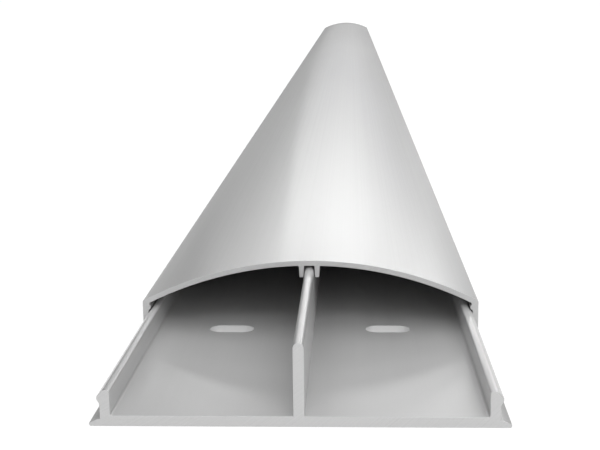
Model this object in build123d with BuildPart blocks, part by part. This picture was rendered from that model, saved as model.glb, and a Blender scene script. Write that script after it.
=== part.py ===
from build123d import *
from build123d.topology import SkipClean

import os
from math import sqrt

# A two-channel floor cable duct in two extruded aluminium pieces: a flat base with two side rails
# and a centre divider, and an arched cover whose legs snap over the rails.
#
# Millimetres. X runs across the duct, Y along it and Z up. The origin is the centre of the base's
# underside, and both sections are symmetric about X = 0. The cover is drawn slid back along the
# base by cover_setback, which opens the front end of both channels.

# Lengths
base_length = 2000.0
cover_length = 2000.0
cover_setback = 60.0

# Overall section
base_width = 80.0
cover_height = 18.35  # floor to the top of the crown
floor_thickness = 2.1

# Cover walls
crown_wall = 1.25
leg_wall = 1.35  # at the groove that takes the rail's nose, the thinnest part of a leg
leg_inset = 0.1  # the leg's outer face stands in from the base's edge by this much
shoulder_rise = 1.45  # from the rail's crest to the outer corner of crown and leg
shoulder_radius = 0.6
foot_radius = 0.3

# Flange outside each rail, which carries the cover's leg
flange_thickness = 1.4
flange_edge = 0.65  # at the sloping flange's outer edge
flange_land = 0.5  # flat strip between the rail and the slope

# Side rails
rail_height = 7.15
rail_thickness = 2.0
rail_crest = 1.5  # flat width on top, before its edges are rounded
rail_crest_radius = 0.35
rail_foot_radius = 0.5  # where the rail meets the channel floor

# Nose along the outside of each rail, which the cover snaps under
nose_reach = 0.5
nose_drop = 1.3  # from the rail's crest down to the nose
nose_land = 0.55
nose_radius = 0.25
undercut_height = 0.85
undercut_radius = 0.4

# Snap profile inside each leg
snap_clearance = 0.15
hook_clearance = 0.2  # from the hook's crest to the rail
hook_land = 0.6
hook_lead = 0.9  # height of the lead-in below the hook
bead_lap = 0.4  # how far the bead above the nose reaches inwards past it
bead_proud = 0.25
bead_land = 0.6
bead_radius = 0.2
groove_rise = 0.3  # from the top of the nose to the top of the groove

# Centre divider and the two lips under the crown that straddle it
divider_thickness = 2.15
divider_edge_radius = 0.8
divider_gap = 0.6  # from the divider's top to the crown
lip_clearance = 0.3  # beside the divider, at the lips' lower ends
lip_height = 2.8
lip_thickness = 0.95  # at the lower end
lip_draft = 0.17  # each face's slope over the lip's height
lip_radius = 0.2

# Fixing slots, one pair across the base at each place along it
slot_length = 10.5
slot_width = 5.5
slot_pairs = 6
slot_end_margin = 58.5  # from the base's end to the centre of its nearest pair

# Places across the section, measured from its centre line
leg_outer_x = base_width / 2 - leg_inset
groove_x = leg_outer_x - leg_wall
nose_x = groove_x - snap_clearance
rail_outer_x = nose_x - nose_reach
rail_inner_x = rail_outer_x - rail_thickness
crest_outer_x = rail_inner_x + rail_crest
slope_x = rail_outer_x + flange_land
hook_x = rail_outer_x + hook_clearance
bead_x = nose_x - bead_lap
leg_inner_x = bead_x + bead_proud
divider_x = divider_thickness / 2
lip_inner_x = divider_x + lip_clearance
lip_outer_x = lip_inner_x + lip_thickness
slot_x = (divider_x + rail_inner_x) / 2

# Heights above the floor
nose_top = rail_height - nose_drop
nose_bottom = nose_top - nose_land
neck_top = nose_bottom - undercut_height
groove_top = nose_top + groove_rise
groove_bottom = nose_bottom - snap_clearance
hook_top = groove_bottom - undercut_height * (groove_x - hook_x) / nose_reach
hook_bottom = hook_top - hook_land
bead_bottom = groove_top + (groove_x - bead_x)
bead_top = bead_bottom + bead_land
shoulder_height = rail_height + shoulder_rise
crown_underside = cover_height - crown_wall
divider_height = crown_underside - divider_gap
lip_bottom = crown_underside - lip_height

# The crown is one arc over the two shoulders
crown_rise = cover_height - shoulder_height
crown_radius = (leg_outer_x**2 + crown_rise**2) / (2 * crown_rise)
crown_inner_radius = crown_radius - crown_wall


def flange_top(x):
    """Height of the flange's sloping top, on which the cover's foot rests."""
    slope = (flange_thickness - flange_edge) / (base_width / 2 - slope_x)
    return flange_thickness - slope * (x - slope_x)


def crown_inside(x):
    """Height of the crown's concave side."""
    return cover_height - crown_radius + sqrt(crown_inner_radius**2 - x**2)


def corner_at(section, point):
    """The corner of a section that stands at a point."""
    return section.vertices().sort_by_distance(point)[0]


def mirrored_outline(right_side):
    """A symmetric section's whole outline, from the points of its right side."""
    return right_side + tuple((-x, z) for x, z in reversed(right_side))


# Base: the right side of its outline, from the underside round to the divider's top
edge_radius = min(0.45, 0.6 * flange_edge)
base_outline = (
    (base_width / 2, 0),
    (base_width / 2, flange_edge),
    (slope_x, flange_thickness),
    (rail_outer_x, flange_thickness),
    (rail_outer_x, neck_top),
    (nose_x, nose_bottom),
    (nose_x, nose_top),
    (crest_outer_x, rail_height),
    (rail_inner_x, rail_height),
    (rail_inner_x, floor_thickness),
    (divider_x, floor_thickness),
    (divider_x, divider_height),
)
base_radii = (
    edge_radius,
    edge_radius / 3,
    0,
    0.2,
    undercut_radius,
    nose_radius,
    nose_radius,
    rail_crest_radius,
    rail_crest_radius,
    rail_foot_radius,
    0,
    divider_edge_radius,
)

with BuildPart() as base_profile:
    with BuildSketch(Plane.XZ) as base_section:
        with BuildLine():
            FilletPolyline(
                *mirrored_outline(base_outline),
                radius=base_radii + base_radii[::-1],
                close=True,
            )
        make_face()
    extrude(amount=base_length / 2, both=True)

    # Fixing slots on the centre line of each channel
    slot_pitch = (base_length - 2 * slot_end_margin) / (slot_pairs - 1)
    with BuildSketch(Plane.XY):
        with GridLocations(2 * slot_x, slot_pitch, 2, slot_pairs):
            SlotOverall(slot_length, slot_width)
    extrude(amount=floor_thickness, mode=Mode.SUBTRACT)

# Cover: the right half of its outline, over the crown, down the leg, up inside it to the lip
leg_outline = (
    (leg_outer_x, shoulder_height),
    (leg_outer_x, flange_top(leg_outer_x)),
    (groove_x, flange_top(groove_x)),
    (groove_x, hook_bottom - hook_lead),
    (hook_x, hook_bottom),
    (hook_x, hook_top),
    (groove_x, groove_bottom),
    (groove_x, groove_top),
    (bead_x, bead_bottom),
    (bead_x, bead_top),
    (leg_inner_x, bead_top + bead_proud),
    (leg_inner_x, crown_inside(leg_inner_x)),
)
leg_radii = (
    foot_radius,
    0,
    bead_radius,
    bead_radius,
    bead_radius,
    bead_radius,
    bead_radius,
    bead_radius,
    bead_radius,
    0,
)
lip_outline = (
    (lip_outer_x + lip_draft, crown_inside(lip_outer_x + lip_draft)),
    (lip_outer_x, lip_bottom),
    (lip_inner_x, lip_bottom),
    (lip_inner_x - lip_draft, crown_underside),
    (0, crown_underside),
)

# The cover is made as its right half and mirrored without a clean-up, so that its faces meet in a
# seam along the top of the crown
cover_rear_y = cover_setback + cover_length / 2
with SkipClean():
    with BuildPart() as cover_profile:
        with BuildSketch(Plane.XZ.offset(-cover_rear_y)) as cover_section:
            with BuildLine():
                TangentArc((0, cover_height), leg_outline[0], tangent=(1, 0))
                FilletPolyline(*leg_outline, radius=leg_radii)
                RadiusArc(leg_outline[-1], lip_outline[0], -crown_inner_radius)
                FilletPolyline(*lip_outline, radius=lip_radius)
                Line(lip_outline[-1], (0, cover_height))
            make_face()
            fillet(corner_at(cover_section, leg_outline[0]), shoulder_radius)
            fillet(corner_at(cover_section, lip_outline[0]), lip_radius)
        extrude(amount=cover_length)
        mirror(about=Plane.YZ)

base_profile.part.label = "base_profile"
cover_profile.part.label = "cover_profile"

os.makedirs("parts", exist_ok=True)
export_step(base_profile.part, "parts/base_profile.step")
export_step(cover_profile.part, "parts/cover_profile.step")
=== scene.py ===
"""A two-channel floor cable duct: an extruded aluminium base and its clip-fit cover."""

from math import asin, cos, pi, radians, sqrt, tan

import bmesh
import bpy
from bpy.props import FloatProperty, FloatVectorProperty, IntProperty, PointerProperty
from mathutils import Matrix, Vector


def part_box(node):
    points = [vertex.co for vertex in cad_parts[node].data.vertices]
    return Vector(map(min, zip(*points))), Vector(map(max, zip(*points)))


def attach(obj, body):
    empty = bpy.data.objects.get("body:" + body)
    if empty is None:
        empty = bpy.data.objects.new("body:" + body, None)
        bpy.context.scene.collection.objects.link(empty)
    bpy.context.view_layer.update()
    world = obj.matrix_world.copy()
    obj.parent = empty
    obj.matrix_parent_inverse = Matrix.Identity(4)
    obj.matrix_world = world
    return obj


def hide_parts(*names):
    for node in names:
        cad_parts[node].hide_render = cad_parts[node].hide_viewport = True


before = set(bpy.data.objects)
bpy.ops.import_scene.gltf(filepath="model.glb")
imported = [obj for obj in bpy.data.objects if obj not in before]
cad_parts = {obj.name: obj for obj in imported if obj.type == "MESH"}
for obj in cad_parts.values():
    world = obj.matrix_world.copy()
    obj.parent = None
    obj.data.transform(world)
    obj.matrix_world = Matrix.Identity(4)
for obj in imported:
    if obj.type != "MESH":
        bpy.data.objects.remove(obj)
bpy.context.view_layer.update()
base_low, base_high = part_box("base_profile")
cover_low, cover_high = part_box("cover_profile")

bl_info = {
    "name": "Floor cable duct",
    "version": (1, 0, 0),
    "blender": (4, 5, 0),
    "location": "View3D > Sidebar > Cable duct",
    "description": "Models a two-channel aluminium floor duct with a clip-fit cover",
    "category": "Add Mesh",
}

MM = 0.001
CORNER_STEPS = 8  # faces round each rounded corner
CROWN_STEPS = 48  # faces over each half of the crown
SHARP_ANGLE = radians(35)  # edges that turn by more than this stay sharp
END_REACH = 0.1 * MM  # faces this close to an end, and square to it, are sawn
LAYER_IOR = 1.6  # of the clear anodised layer


# Sizes and colours


def length(name, millimetres, description):
    """A length that a user can change, given in millimetres and kept in metres."""
    return FloatProperty(
        name=name,
        description=description,
        default=millimetres * MM,
        min=0.0,
        precision=5,
        unit="LENGTH",
    )


def share(name, default, description):
    """A number from 0 to 1 that a user can change."""
    return FloatProperty(
        name=name, description=description, default=default, min=0.0, max=1.0, subtype="FACTOR"
    )


def grey(name, level, description):
    """A colour that a user can change, a plain grey by default."""
    return FloatVectorProperty(
        name=name,
        description=description,
        default=(level, level, level),
        min=0.0,
        max=1.0,
        size=3,
        subtype="COLOR",
    )


class DuctBaseSizes(bpy.types.PropertyGroup):
    """Sizes of the base's section. Its width, height and length come from the CAD part in
    model.glb.
    """

    floor: length("Floor", 2.1, "Thickness of the plate under both channels")
    flange: length("Flange", 1.4, "Thickness of the flange beside the rail")
    flange_edge: length("Flange edge", 0.65, "Thickness of the flange at its outer edge")
    flange_edge_radius: length("Flange edge radius", 0.39, "Rounding under the flange's edge")
    flange_land: length("Flange land", 0.5, "Flat strip between the rail and the slope")
    flange_root_radius: length("Flange root radius", 0.2, "Rounding between flange and rail")
    rail_inner: length("Rail inner face", 35.9, "Distance from the centre line")
    rail_thickness: length("Rail thickness", 2.0, "Thickness of each side rail")
    rail_height: length("Rail height", 7.15, "Height of the rail's crest above the underside")
    rail_crest: length("Rail crest", 1.5, "Width of the rail's crest")
    rail_crest_radius: length("Rail crest radius", 0.35, "Rounding of the crest's edges")
    rail_ridge_radius: length("Rail ridge radius", 1.5, "Rounding along the middle of the crest")
    crest_slope: FloatProperty(
        name="Crest slope",
        description="Fall of the crest to either side of its ridge",
        default=radians(18.5),
        min=0.0,
        max=radians(30.0),
        subtype="ANGLE",
    )
    rail_foot_radius: length("Rail foot radius", 0.5, "Rounding between rail and floor")
    nose_reach: length("Nose reach", 0.5, "How far the nose stands out from the rail")
    nose_drop: length("Nose drop", 1.3, "From the rail's crest down to the nose")
    nose_land: length("Nose land", 0.55, "Height of the nose's upright face")
    nose_radius: length("Nose radius", 0.25, "Rounding of the nose's edges")
    undercut: length("Undercut", 0.85, "Height of the slope under the nose")
    undercut_radius: length("Undercut radius", 0.4, "Rounding under the nose")
    divider: length("Divider", 2.15, "Thickness of the divider between the channels")
    divider_radius: length("Divider radius", 1.0, "Rounding of the divider's top edges")
    slot_length: length("Slot length", 10.5, "Overall length of a fixing slot, across the base")
    slot_width: length("Slot width", 5.5, "Width of a fixing slot, along the base")
    slot_margin: length("Slot margin", 58.5, "From the base's end to its nearest pair of slots")
    slot_deburr: length("Slot deburring", 0.05, "Chamfer round the upper rim of a slot")
    slot_pairs: IntProperty(
        name="Slot pairs", description="Pairs of fixing slots along the base", default=6, min=2
    )


class DuctCoverSizes(bpy.types.PropertyGroup):
    """Sizes of the cover's section. Its width, height and length come from the CAD part in
    model.glb.
    """

    crown_wall: length("Crown wall", 1.25, "Thickness of the arched top")
    leg_wall: length("Leg wall", 1.35, "Thickness of a leg at the groove for the rail's nose")
    shoulder: length("Shoulder", 8.6, "Height of the corner between crown and leg")
    shoulder_radius: length("Shoulder radius", 0.6, "Rounding of that corner")
    foot_radius: length("Foot radius", 0.3, "Rounding of the foot's outer edge")
    foot_gap: length("Foot gap", 0.02, "Gap between the foot and the flange")
    hook_reach: length("Hook reach", 0.45, "How far the hook under the nose stands in")
    hook_lead: length("Hook lead-in", 0.9, "Height of the slope below the hook")
    hook_bottom: length("Hook bottom", 3.785, "Height of the hook's lower edge")
    hook_land: length("Hook land", 0.6, "Height of the hook's upright face")
    groove_bottom: length("Groove bottom", 5.15, "Height where the groove starts")
    groove_top: length("Groove top", 6.15, "Height where the groove ends")
    bead_reach: length("Bead reach", 0.55, "How far the bead over the nose stands in")
    bead_land: length("Bead land", 0.6, "Height of the bead's upright face")
    bead_proud: length("Bead proud", 0.25, "How far the bead stands in from the leg above it")
    bead_radius: length("Bead radius", 0.2, "Rounding of the hook's and the bead's edges")
    lip_height: length("Lip height", 2.8, "How far the lips reach down from the crown")
    lip_thickness: length("Lip thickness", 0.95, "Thickness of a lip at its lower end")
    lip_gap: length("Lip gap", 2.75, "Width between the two lips at their lower ends")
    lip_draft: length("Lip draft", 0.17, "Slope of each side of a lip over its height")
    lip_radius: length("Lip radius", 0.2, "Rounding of the lips' corners")


class DuctFinish(bpy.types.PropertyGroup):
    """Colours and finish of the aluminium."""

    anodised: grey("Anodised colour", 0.64, "Colour of the etched metal under the anodised layer")
    sawn: grey("Sawn colour", 0.56, "Colour of the bare metal at the sawn ends")
    roughness: share("Etched roughness", 0.8, "Roughness of the metal under the anodised layer")
    layer_roughness: share("Layer roughness", 0.25, "Roughness of the clear anodised layer")
    sawn_roughness: share("Sawn roughness", 0.6, "Roughness of the sawn ends")
    line_width: length("Die lines", 0.4, "Width of the fine lines that the die leaves")
    band_width: length("Die bands", 3.5, "Width of the faint bands that the die leaves")
    line_length: length("Line length", 1500.0, "How far lines and bands run before they change")
    cloud_size: length("Clouds", 60.0, "Size of the slow changes of tone in the anodising")
    grain_size: length("Grain", 0.18, "Size of the etched grain")
    saw_pitch: length("Saw marks", 0.3, "Distance between the saw's marks on a cut end")
    relief: length("Relief", 0.015, "Depth of the die lines and the grain")
    saw_relief: length("Saw relief", 0.008, "Depth of the saw's marks")
    end_deburr: length("End deburring", 0.06, "Chamfer round the sawn ends")


class DuctStage(bpy.types.PropertyGroup):
    """Camera and light."""

    lens: FloatProperty(
        name="Lens", description="Focal length on a sensor 36 mm wide", default=70.71, min=1.0
    )
    camera_place: FloatVectorProperty(
        name="Camera place",
        description="Where the camera stands",
        default=(0.01004, -1.21059, 0.08107),
        size=3,
        precision=5,
        subtype="TRANSLATION",
        unit="LENGTH",
    )
    camera_yaw: FloatProperty(
        name="Camera yaw", description="Turn to the left", default=0.044706, subtype="ANGLE"
    )
    camera_pitch: FloatProperty(
        name="Camera pitch", description="Tilt downwards", default=0.197286, subtype="ANGLE"
    )
    camera_roll: FloatProperty(
        name="Camera roll", description="Lean of the camera", default=-0.011275, subtype="ANGLE"
    )
    floor_width: length("Floor width", 80000.0, "Width of the white floor, each way")
    shadow: share("Shadow", 0.35, "How much of the floor's white is light that a shadow takes away")
    room_light: share("Room light", 1.0, "Light that the white surroundings give the floor")
    surround_grey: share("Surround", 0.02, "Grey of the dark surround, mirrored in the metal")
    surround_radius: length("Surround radius", 22000.0, "Distance from the duct to the surround")
    surround_height: length("Surround height", 18000.0, "Height of the surround")


# Modelling


def start_piece(name, place):
    """Adds a plane at a place, merges it to one vertex there and leaves it in edit mode."""
    bpy.ops.object.select_all(action="DESELECT")
    bpy.ops.mesh.primitive_plane_add(size=MM, location=place)
    piece = bpy.context.object
    piece.name = name
    bpy.ops.object.transform_apply(location=True, rotation=True, scale=True)
    bpy.ops.object.mode_set(mode="EDIT")
    bpy.ops.mesh.select_mode(type="VERT")
    bpy.ops.mesh.select_all(action="SELECT")
    bpy.ops.mesh.merge(type="CENTER")
    return piece


class Section:
    """The right half of an extrusion's section, drawn in edit mode from corner to corner."""

    def __init__(self, name, x, y, z):
        self.piece = start_piece(name, (x, y, z))
        self.x, self.y, self.z = x, y, z
        self.rounded = []

    def line(self, x, z, radius=0.0):
        """Draws a straight side to the next corner, which may be rounded later."""
        bpy.ops.mesh.extrude_region_move(
            TRANSFORM_OT_translate={"value": (x - self.x, 0.0, z - self.z)}
        )
        self.x, self.z = x, z
        if radius > 0.0:
            self.rounded.append((x, z, radius))

    def arc(self, angle, centre_z, x, z, radius=0.0):
        """Draws a side that is an arc about a centre on X = 0, clockwise seen from the front."""
        bpy.ops.mesh.spin(
            steps=CROWN_STEPS, angle=-angle, center=(0.0, self.y, centre_z), axis=(0.0, 1.0, 0.0)
        )
        self.x, self.z = x, z
        if radius > 0.0:
            self.rounded.append((x, z, radius))

    def round_corners(self):
        """Bevels each corner to its radius."""
        for x, z, radius in self.rounded:
            bpy.ops.mesh.select_all(action="DESELECT")
            mesh = bmesh.from_edit_mesh(self.piece.data)
            place = Vector((x, self.y, z))
            corner = min(mesh.verts, key=lambda vertex: (vertex.co - place).length)
            before, after = (edge.other_vert(corner).co - corner.co for edge in corner.link_edges)
            corner.select_set(True)
            bmesh.update_edit_mesh(self.piece.data)
            bpy.ops.mesh.bevel(
                affect="VERTICES",
                offset=radius / tan(before.angle(after) / 2),
                segments=CORNER_STEPS,
                profile=0.5,
            )

    def extrude(self, rear_y, deburr):
        """Mirrors the section, fills it, extrudes it to rear_y and deburrs both ends."""
        self.round_corners()
        bpy.ops.object.mode_set(mode="OBJECT")
        mirror = self.piece.modifiers.new("Left half", "MIRROR")
        mirror.merge_threshold = 0.001 * MM
        bpy.ops.object.modifier_apply(modifier=mirror.name)
        bpy.ops.object.mode_set(mode="EDIT")
        bpy.ops.mesh.select_all(action="SELECT")
        bpy.ops.mesh.edge_face_add()
        bpy.ops.transform.translate(value=(0.0, deburr, 0.0))
        bpy.ops.mesh.extrude_region_move(
            TRANSFORM_OT_translate={"value": (0.0, rear_y - self.y - 2 * deburr, 0.0)}
        )
        bpy.ops.mesh.select_all(action="SELECT")
        bpy.ops.mesh.normals_make_consistent(inside=False)
        select_faces(self.piece, lambda face: abs(face.normal.y) > 0.5)
        bpy.ops.mesh.inset(thickness=deburr, depth=deburr, use_individual=True)
        bpy.ops.object.mode_set(mode="OBJECT")
        return self.piece


def select_faces(piece, wanted):
    """Selects the faces of a piece in edit mode that a test picks."""
    bpy.ops.mesh.select_all(action="DESELECT")
    bpy.ops.mesh.select_mode(type="FACE")
    mesh = bmesh.from_edit_mesh(piece.data)
    for face in mesh.faces:
        face.select_set(wanted(face))
    bmesh.update_edit_mesh(piece.data)


def finish_piece(piece, body, node, materials, ends):
    """Shades a piece, gives it its materials and puts it in the place of its CAD node."""
    bpy.ops.object.select_all(action="DESELECT")
    piece.select_set(True)
    bpy.context.view_layer.objects.active = piece
    for material in materials:
        piece.data.materials.append(material)
    for face in piece.data.polygons:
        end_gap = min(abs(face.center.y - y) for y in ends)
        face.material_index = 1 if abs(face.normal.y) > 0.5 and end_gap < END_REACH else 0
    bpy.ops.object.shade_smooth_by_angle(angle=SHARP_ANGLE)
    weighted = piece.modifiers.new("Flat faces stay flat", "WEIGHTED_NORMAL")
    weighted.keep_sharp = True
    weighted.weight = 100
    bpy.ops.object.modifier_apply(modifier=weighted.name)
    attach(piece, body)
    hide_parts(node)


def draw_base(sizes, deburr):
    """The base without its slots."""
    half_width = base_high.x
    rail_outer = sizes.rail_inner + sizes.rail_thickness
    nose = rail_outer + sizes.nose_reach
    nose_top = sizes.rail_height - sizes.nose_drop
    nose_bottom = nose_top - sizes.nose_land
    crest = sizes.rail_inner + sizes.rail_crest
    ridge = sizes.rail_height + sizes.rail_ridge_radius * (1 / cos(sizes.crest_slope) - 1)
    crest_edge = ridge - sizes.rail_crest / 2 * tan(sizes.crest_slope)
    section = Section("base", 0.0, base_low.y, 0.0)
    section.line(half_width, 0.0, sizes.flange_edge_radius)
    section.line(half_width, sizes.flange_edge, sizes.flange_edge_radius / 3)
    section.line(rail_outer + sizes.flange_land, sizes.flange)
    section.line(rail_outer, sizes.flange, sizes.flange_root_radius)
    section.line(rail_outer, nose_bottom - sizes.undercut, sizes.undercut_radius)
    section.line(nose, nose_bottom, sizes.nose_radius)
    section.line(nose, nose_top, sizes.nose_radius)
    section.line(crest, crest_edge, sizes.rail_crest_radius)
    section.line(crest - sizes.rail_crest / 2, ridge, sizes.rail_ridge_radius)
    section.line(sizes.rail_inner, crest_edge, sizes.rail_crest_radius)
    section.line(sizes.rail_inner, sizes.floor, sizes.rail_foot_radius)
    section.line(sizes.divider / 2, sizes.floor)
    section.line(sizes.divider / 2, base_high.z, sizes.divider_radius)
    section.line(0.0, base_high.z)
    return section.extrude(base_high.y, deburr)


def slot_cutter(sizes):
    """A block as large as one fixing slot, flared at the top, copied to every slot's place."""
    x = (sizes.divider / 2 + sizes.rail_inner) / 2
    y = base_low.y + sizes.slot_margin
    top = sizes.floor - sizes.slot_deburr
    bpy.ops.object.select_all(action="DESELECT")
    bpy.ops.mesh.primitive_cube_add(
        size=1.0,
        location=(-x, y, top / 2 - MM),
        scale=(sizes.slot_length, sizes.slot_width, top + 2 * MM),
    )
    cutter = bpy.context.object
    cutter.name = "slot_cutter"
    bpy.ops.object.transform_apply(location=True, rotation=True, scale=True)
    bpy.ops.object.mode_set(mode="EDIT")
    bpy.ops.mesh.select_all(action="DESELECT")
    bpy.ops.mesh.select_mode(type="EDGE")
    mesh = bmesh.from_edit_mesh(cutter.data)
    for edge in mesh.edges:
        along = edge.verts[0].co - edge.verts[1].co
        edge.select_set(abs(along.z) > MM and abs(along.x) < MM and abs(along.y) < MM)
    bmesh.update_edit_mesh(cutter.data)
    bpy.ops.mesh.bevel(offset=sizes.slot_width / 2, segments=2 * CORNER_STEPS, profile=0.5)
    bpy.ops.mesh.select_all(action="SELECT")
    bpy.ops.mesh.remove_doubles(threshold=0.001 * MM)
    select_faces(cutter, lambda face: face.normal.z > 0.5)
    flare = 2 * sizes.slot_deburr
    bpy.ops.mesh.extrude_region_move(TRANSFORM_OT_translate={"value": (0.0, 0.0, flare)})
    bpy.ops.transform.resize(
        value=(1 + 2 * flare / sizes.slot_length, 1 + 2 * flare / sizes.slot_width, 1.0),
        center_override=(-x, y, 0.0),
    )
    bpy.ops.object.mode_set(mode="OBJECT")
    pitch = (base_high.y - base_low.y - 2 * sizes.slot_margin) / (sizes.slot_pairs - 1)
    for name, count, step in (
        ("Across", 2, (2 * x, 0.0, 0.0)),
        ("Along", sizes.slot_pairs, (0.0, pitch, 0.0)),
    ):
        array = cutter.modifiers.new(name, "ARRAY")
        array.count = count
        array.use_relative_offset = False
        array.use_constant_offset = True
        array.constant_offset_displace = step
        bpy.ops.object.modifier_apply(modifier=name)
    return cutter


def draw_cover(sizes, base, deburr):
    """The cover, from the top of the crown round the leg and back to the lips."""
    top = cover_high.z
    leg_outer = cover_high.x
    rise = top - sizes.shoulder
    radius = (leg_outer**2 + rise**2) / (2 * rise)
    inner_radius = radius - sizes.crown_wall
    centre = top - radius

    def inside(x):
        """Height of the crown's concave side."""
        return centre + sqrt(inner_radius**2 - x**2)

    def foot(x):
        """Height of the foot, which follows the flange's slope."""
        slope_start = base.rail_inner + base.rail_thickness + base.flange_land
        slope = (base.flange - base.flange_edge) / (base_high.x - slope_start)
        return base.flange - slope * (x - slope_start) + sizes.foot_gap

    groove = leg_outer - sizes.leg_wall
    hook = groove - sizes.hook_reach
    bead = groove - sizes.bead_reach
    bead_bottom = sizes.groove_top + sizes.bead_reach
    bead_top = bead_bottom + sizes.bead_land
    leg_inner = bead + sizes.bead_proud
    lip_inner = sizes.lip_gap / 2
    lip_outer = lip_inner + sizes.lip_thickness
    lip_root = lip_outer + sizes.lip_draft
    ceiling = top - sizes.crown_wall

    section = Section("cover", 0.0, cover_low.y, top)
    section.arc(asin(leg_outer / radius), centre, leg_outer, sizes.shoulder, sizes.shoulder_radius)
    section.line(leg_outer, foot(leg_outer), sizes.foot_radius)
    section.line(groove, foot(groove))
    section.line(groove, sizes.hook_bottom - sizes.hook_lead, sizes.bead_radius)
    section.line(hook, sizes.hook_bottom, sizes.bead_radius)
    section.line(hook, sizes.hook_bottom + sizes.hook_land, sizes.bead_radius)
    section.line(groove, sizes.groove_bottom, sizes.bead_radius)
    section.line(groove, sizes.groove_top, sizes.bead_radius)
    section.line(bead, bead_bottom, sizes.bead_radius)
    section.line(bead, bead_top, sizes.bead_radius)
    section.line(leg_inner, bead_top + sizes.bead_proud)
    section.line(leg_inner, inside(leg_inner))
    turn = asin(lip_root / inner_radius) - asin(leg_inner / inner_radius)
    section.arc(turn, centre, lip_root, inside(lip_root), sizes.lip_radius)
    section.line(lip_outer, ceiling - sizes.lip_height, sizes.lip_radius)
    section.line(lip_inner, ceiling - sizes.lip_height, sizes.lip_radius)
    section.line(lip_inner - sizes.lip_draft, ceiling, sizes.lip_radius)
    section.line(0.0, ceiling)
    return section.extrude(cover_high.y, deburr)


# Materials


class Value:
    """A node's output, so that shader maths can be written as a Python expression."""

    def __init__(self, graph, socket):
        self.graph, self.socket = graph, socket

    def maths(self, operation, *values):
        return self.graph.node("ShaderNodeMath", {"operation": operation}, dict(enumerate(values)))

    def __add__(self, other):
        return self.maths("ADD", self, other)

    def __sub__(self, other):
        return self.maths("SUBTRACT", self, other)

    def __mul__(self, other):
        return self.maths("MULTIPLY", self, other)

    def __rsub__(self, other):
        return self.maths("SUBTRACT", other, self)

    __radd__ = __add__
    __rmul__ = __mul__


class Graph:
    """A node tree that is filled one node at a time."""

    def __init__(self, tree):
        self.tree = tree
        tree.nodes.clear()

    def node(self, kind, settings=None, inputs=None, output=0):
        """Adds a node, sets it, joins its inputs and returns one of its outputs."""
        node = self.tree.nodes.new(kind)
        for name, value in (settings or {}).items():
            setattr(node, name, value)
        for key, value in (inputs or {}).items():
            if isinstance(value, Value):
                self.tree.links.new(value.socket, node.inputs[key])
            else:
                node.inputs[key].default_value = value
        return Value(self, node.outputs[output]) if len(node.outputs) else None

    def stretched(self, place, across, along):
        """A place measured in cells of one size across the duct and another along it."""
        cells = (1 / across, 1 / along, 1 / across)
        return self.node("ShaderNodeVectorMath", {"operation": "MULTIPLY"}, {0: place, 1: cells})

    def noise(self, place, across, along, detail):
        """Uneven tone about 0, in cells of one size across the duct and another along it."""
        vector = self.stretched(place, across, along)
        inputs = {"Vector": vector, "Scale": 1.0, "Detail": detail}
        return self.node("ShaderNodeTexNoise", inputs=inputs) - 0.5

    def tinted(self, colour, tone):
        """A colour made lighter or darker by a tone about 0, by a fifth at 0.5 either way."""
        darker = (*(0.8 * part for part in colour), 1.0)
        lighter = (*(min(1.2 * part, 1.0) for part in colour), 1.0)
        return self.mix(tone + 0.5, darker, lighter)

    def mix(self, factor, first, second):
        """A blend of two colours, all of the second one where the factor is 1."""
        inputs = {0: factor, 6: first, 7: second}  # a Mix node's factor and its two colours
        return self.node("ShaderNodeMix", {"data_type": "RGBA"}, inputs, output=2)

    def relief(self, height, depth):
        """A normal that follows a height about 0, whose full range is as deep as is given."""
        return self.node("ShaderNodeBump", inputs={"Distance": depth, "Height": height})


def new_graph(name):
    """A new material and its empty node tree."""
    material = bpy.data.materials.new(name)
    material.use_nodes = True
    return material, Graph(material.node_tree)


def anodised_aluminium(name, finish):
    """Etched metal under a clear layer: die lines along the profile, fine grain and slow clouds."""
    material, graph = new_graph(name)
    place = graph.node("ShaderNodeTexCoord", output="Object")
    lines = graph.noise(place, finish.line_width, finish.line_length, detail=3.0)
    bands = graph.noise(place, finish.band_width, finish.line_length, detail=1.0)
    clouds = graph.noise(place, finish.cloud_size, 10 * finish.cloud_size, detail=2.0)
    grain = graph.noise(place, finish.grain_size, finish.grain_size, detail=1.0)
    tone = 0.08 * lines + 0.05 * bands + 0.06 * clouds + 0.12 * grain
    surface = graph.node(
        "ShaderNodeBsdfPrincipled",
        inputs={
            "Base Color": graph.tinted(finish.anodised, tone),
            "Metallic": 1.0,
            "Roughness": finish.roughness + 0.1 * lines + 0.1 * bands + 0.1 * clouds,
            "Normal": graph.relief(0.6 * lines + 0.4 * grain, finish.relief),
            "Coat Weight": 0.95 + 0.15 * clouds - 0.15 * lines,
            "Coat Roughness": finish.layer_roughness,
            "Coat IOR": LAYER_IOR,
        },
    )
    graph.node("ShaderNodeOutputMaterial", inputs={"Surface": surface})
    return material


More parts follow.
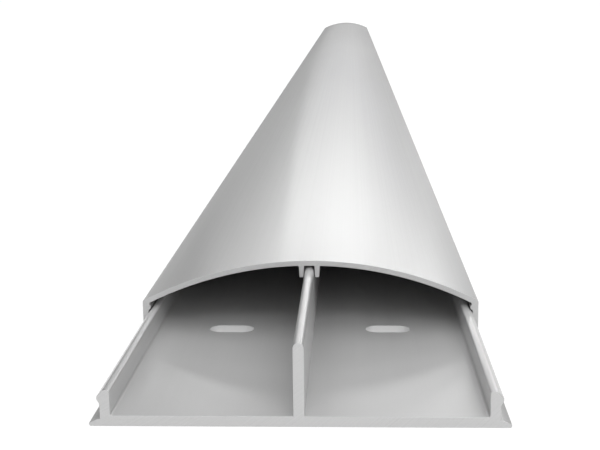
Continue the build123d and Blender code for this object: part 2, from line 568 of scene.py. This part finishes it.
def sawn_aluminium(name, finish):
    """Bare metal with the arcs that a circular saw leaves on a cut end."""
    material, graph = new_graph(name)
    place = graph.node("ShaderNodeTexCoord", output="Object")
    blade = (-120 * MM, 0.0, 160 * MM)  # the saw blade's centre, above the duct and left of it
    arm = graph.node("ShaderNodeVectorMath", {"operation": "SUBTRACT"}, {0: place, 1: blade})
    flat = graph.node("ShaderNodeVectorMath", {"operation": "MULTIPLY"}, {0: arm, 1: (1, 0, 1)})
    radius = graph.node(
        "ShaderNodeVectorMath", {"operation": "LENGTH"}, {0: flat}, output="Value"
    )
    marks = graph.node(
        "ShaderNodeTexNoise",
        {"noise_dimensions": "1D"},
        {"W": radius * (1 / finish.saw_pitch), "Scale": 1.0, "Detail": 2.0},
    ) - 0.5
    grain = graph.noise(place, finish.grain_size, finish.grain_size, detail=1.0)
    surface = graph.node(
        "ShaderNodeBsdfPrincipled",
        inputs={
            "Base Color": graph.tinted(finish.sawn, 0.1 * marks + 0.1 * grain),
            "Metallic": 1.0,
            "Roughness": finish.sawn_roughness + 0.3 * marks + 0.2 * grain,
            "Normal": graph.relief(0.8 * marks + 0.2 * grain, finish.saw_relief),
        },
    )
    graph.node("ShaderNodeOutputMaterial", inputs={"Surface": surface})
    return material


def background_rays(graph):
    """1 for rays that show the background itself, in view or mirrored in the metal."""
    camera, glossy, transmission = (
        graph.node("ShaderNodeLightPath", output=kind)
        for kind in ("Is Camera Ray", "Is Glossy Ray", "Is Transmission Ray")
    )
    return camera + glossy + transmission


def white_floor(stage):
    """White paper that keeps a soft shadow."""
    material, graph = new_graph("studio_floor")
    paper = graph.node("ShaderNodeBsdfDiffuse", inputs={"Color": (1, 1, 1, 1)})
    white = graph.node("ShaderNodeEmission", inputs={"Color": (1, 1, 1, 1), "Strength": 1.0})
    glow = background_rays(graph) * (1 - stage.shadow)
    surface = graph.node("ShaderNodeMixShader", inputs={0: glow, 1: paper, 2: white})
    graph.node("ShaderNodeOutputMaterial", inputs={"Surface": surface})
    material.cycles.emission_sampling = "NONE"
    return material


def dark_cloth(stage):
    """An even dark grey."""
    material, graph = new_graph("studio_surround")
    colour = (stage.surround_grey,) * 3 + (1.0,)
    surface = graph.node("ShaderNodeEmission", inputs={"Color": colour, "Strength": 1.0})
    graph.node("ShaderNodeOutputMaterial", inputs={"Surface": surface})
    material.cycles.emission_sampling = "NONE"
    return material


def white_world(stage):
    """White surroundings, and the light that they give the floor."""
    world = bpy.data.worlds.new("studio")
    world.use_nodes = True
    world.cycles.sampling_method = "NONE"
    graph = Graph(world.node_tree)
    white, room = (
        graph.node("ShaderNodeBackground", inputs={"Color": (1, 1, 1, 1), "Strength": strength})
        for strength in (1.0, stage.room_light)
    )
    light = graph.node("ShaderNodeMixShader", inputs={0: background_rays(graph), 1: room, 2: white})
    graph.node("ShaderNodeOutputWorld", inputs={"Surface": light})
    return world


# Stage


def place_camera(stage):
    """Adds the camera where the stage's settings say and makes it the scene's."""
    bpy.ops.object.select_all(action="DESELECT")
    bpy.ops.object.camera_add(location=stage.camera_place)
    camera = bpy.context.object
    turn = Matrix.Rotation(stage.camera_yaw, 3, "Z")
    tilt = Matrix.Rotation(pi / 2 - stage.camera_pitch, 3, "X")
    lean = Matrix.Rotation(stage.camera_roll, 3, "Z")
    camera.rotation_euler = (turn @ tilt @ lean).to_euler()
    camera.data.lens = stage.lens
    camera.data.sensor_width = 36.0
    camera.data.clip_start = 10 * MM
    bpy.context.scene.camera = camera


def lay_floor(stage):
    """Lays the white floor under the duct."""
    bpy.ops.mesh.primitive_plane_add(size=stage.floor_width, location=(0.0, 0.0, 0.0))
    floor = bpy.context.object
    floor.name = "studio_floor"
    floor.data.materials.append(white_floor(stage))


def raise_surround(stage):
    """Stands a dark surround round the duct, which shows only in reflections."""
    bpy.ops.mesh.primitive_cylinder_add(
        radius=stage.surround_radius,
        depth=stage.surround_height,
        end_fill_type="NOTHING",
        location=(0.0, 0.0, stage.surround_height / 2),
    )
    surround = bpy.context.object
    surround.name = "studio_surround"
    surround.data.materials.append(dark_cloth(stage))
    for ray in ("camera", "diffuse", "transmission", "volume_scatter", "shadow"):
        setattr(surround, "visible_" + ray, False)


def softbox(name, place, aim, width, height, brightness):
    """A soft lamp aimed at a point. A brightness of 1 looks as bright as white paper."""
    bpy.ops.object.light_add(type="AREA", location=place)
    lamp = bpy.context.object
    lamp.name = name
    lamp.rotation_euler = (Vector(place) - Vector(aim)).to_track_quat("Z", "Y").to_euler()
    lamp.data.shape = "RECTANGLE"
    lamp.data.size = width
    lamp.data.size_y = height
    lamp.data.energy = brightness * pi * width * height
    lamp.visible_camera = False


def hang_lamps():
    """Hangs small bright lamps beyond the far end, and a large dim one in front."""
    far_end = (0.0, cover_high.y, 0.0)
    near_end = (0.0, cover_low.y, 0.0)
    middle = (0.0, 0.3, 0.0)
    softbox("back_strip", (0.3, 3.5, 0.96), far_end, 1.5, 0.22, 7.4)
    softbox("back_left", (-0.85, 3.45, 1.0), far_end, 0.8, 0.3, 2.4)
    softbox("back_left_high", (-0.56, 3.44, 1.44), far_end, 0.35, 0.22, 4.2)
    softbox("back_overhead", (0.3, 2.6, 2.2), middle, 1.2, 1.0, 1.5)
    softbox("back_far", (0.73, 15.0, 5.4), far_end, 2.0, 1.2, 2.9)
    softbox("back_far_right", (4.6, 14.2, 3.75), far_end, 2.0, 1.2, 8.6)
    softbox("front_key", (1.0, -4.5, 2.4), near_end, 5.6, 4.2, 2.3)


# Operators


class DUCT_OT_base(bpy.types.Operator):
    """Models the base and cuts its fixing slots"""

    bl_idname = "duct.base"
    bl_label = "Base"
    bl_options = {"REGISTER", "UNDO"}

    def execute(self, context):
        sizes, finish = context.scene.duct_base, context.scene.duct_finish
        base = draw_base(sizes, finish.end_deburr)
        cutter = slot_cutter(sizes)
        bpy.ops.object.select_all(action="DESELECT")
        base.select_set(True)
        context.view_layer.objects.active = base
        cut = base.modifiers.new("Fixing slots", "BOOLEAN")
        cut.operation = "DIFFERENCE"
        cut.solver = "EXACT"
        cut.object = cutter
        bpy.ops.object.modifier_apply(modifier=cut.name)
        bpy.data.objects.remove(cutter)
        materials = (
            anodised_aluminium("base_anodised", finish),
            sawn_aluminium("base_sawn", finish),
        )
        ends = (base_low.y, base_high.y)
        finish_piece(base, "base", "base_profile", materials, ends)
        return {"FINISHED"}


class DUCT_OT_cover(bpy.types.Operator):
    """Models the arched cover with its legs and lips"""

    bl_idname = "duct.cover"
    bl_label = "Cover"
    bl_options = {"REGISTER", "UNDO"}

    def execute(self, context):
        scene = context.scene
        finish = scene.duct_finish
        cover = draw_cover(scene.duct_cover, scene.duct_base, finish.end_deburr)
        materials = (
            anodised_aluminium("cover_anodised", finish),
            sawn_aluminium("cover_sawn", finish),
        )
        ends = (cover_low.y, cover_high.y)
        finish_piece(cover, "cover", "cover_profile", materials, ends)
        return {"FINISHED"}


class DUCT_OT_stage(bpy.types.Operator):
    """Sets up the floor, the surround, the lamps and the camera"""

    bl_idname = "duct.stage"
    bl_label = "Stage"
    bl_options = {"REGISTER", "UNDO"}

    def execute(self, context):
        stage = context.scene.duct_stage
        context.scene.view_settings.view_transform = "Standard"
        place_camera(stage)
        lay_floor(stage)
        raise_surround(stage)
        hang_lamps()
        context.scene.world = white_world(stage)
        return {"FINISHED"}


class DUCT_PT_sidebar(bpy.types.Panel):
    """Lists the duct's pieces and its stage"""

    bl_idname = "DUCT_PT_sidebar"
    bl_label = "Cable duct"
    bl_space_type = "VIEW_3D"
    bl_region_type = "UI"
    bl_category = "Cable duct"

    def draw(self, context):
        for operator in (DUCT_OT_base, DUCT_OT_cover, DUCT_OT_stage):
            self.layout.operator(operator.bl_idname)
        for group in PROPERTY_GROUPS:
            box = self.layout.box()
            settings = getattr(context.scene, group)
            for name in settings.bl_rna.properties.keys():
                if name not in ("rna_type", "name"):
                    box.prop(settings, name)


PROPERTY_GROUPS = {
    "duct_base": DuctBaseSizes,
    "duct_cover": DuctCoverSizes,
    "duct_finish": DuctFinish,
    "duct_stage": DuctStage,
}
CLASSES = (
    *PROPERTY_GROUPS.values(),
    DUCT_OT_base,
    DUCT_OT_cover,
    DUCT_OT_stage,
    DUCT_PT_sidebar,
)


def register():
    for item in CLASSES:
        bpy.utils.register_class(item)
    for name, group in PROPERTY_GROUPS.items():
        setattr(bpy.types.Scene, name, PointerProperty(type=group))


def unregister():
    for name in PROPERTY_GROUPS:
        delattr(bpy.types.Scene, name)
    for item in reversed(CLASSES):
        bpy.utils.unregister_class(item)


def main():
    register()
    bpy.ops.duct.base()
    bpy.ops.duct.cover()
    bpy.ops.duct.stage()


if __name__ == "__main__":
    main()
